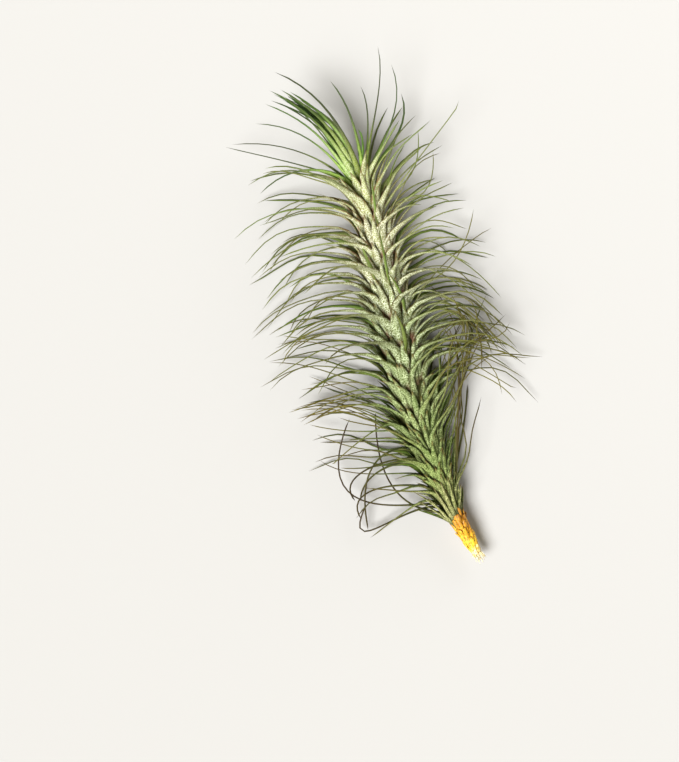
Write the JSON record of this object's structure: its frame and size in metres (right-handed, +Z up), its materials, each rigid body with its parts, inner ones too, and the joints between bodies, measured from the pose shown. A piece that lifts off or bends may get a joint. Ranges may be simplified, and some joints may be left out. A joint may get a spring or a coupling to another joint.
{
  "type": "tillandsia funckiana",
  "caption": "Air plant with a leafy stem: close silver-green leaf bases that end in long threads, a crown of bright young leaves and a bare, papery stem foot.",
  "frame": {"origin": "on the surface that the plant lies on, under the middle of its bounding box", "axes": "+Y along the plant from the bare stem foot to the crown, +Z up from the surface, +X to the right of the crown seen from above"},
  "size_m": [0.0694, 0.1262, 0.0323],
  "materials": {
    "mature_leaf": "matte",
    "young_leaf": "satin",
    "papery_stem": "matte"
  },
  "bodies": {
    "root": {"leafy_stem": "mature_leaf", "crown_leaves": "young_leaf", "stem_foot": "papery_stem"}
  },
  "joints": []
}
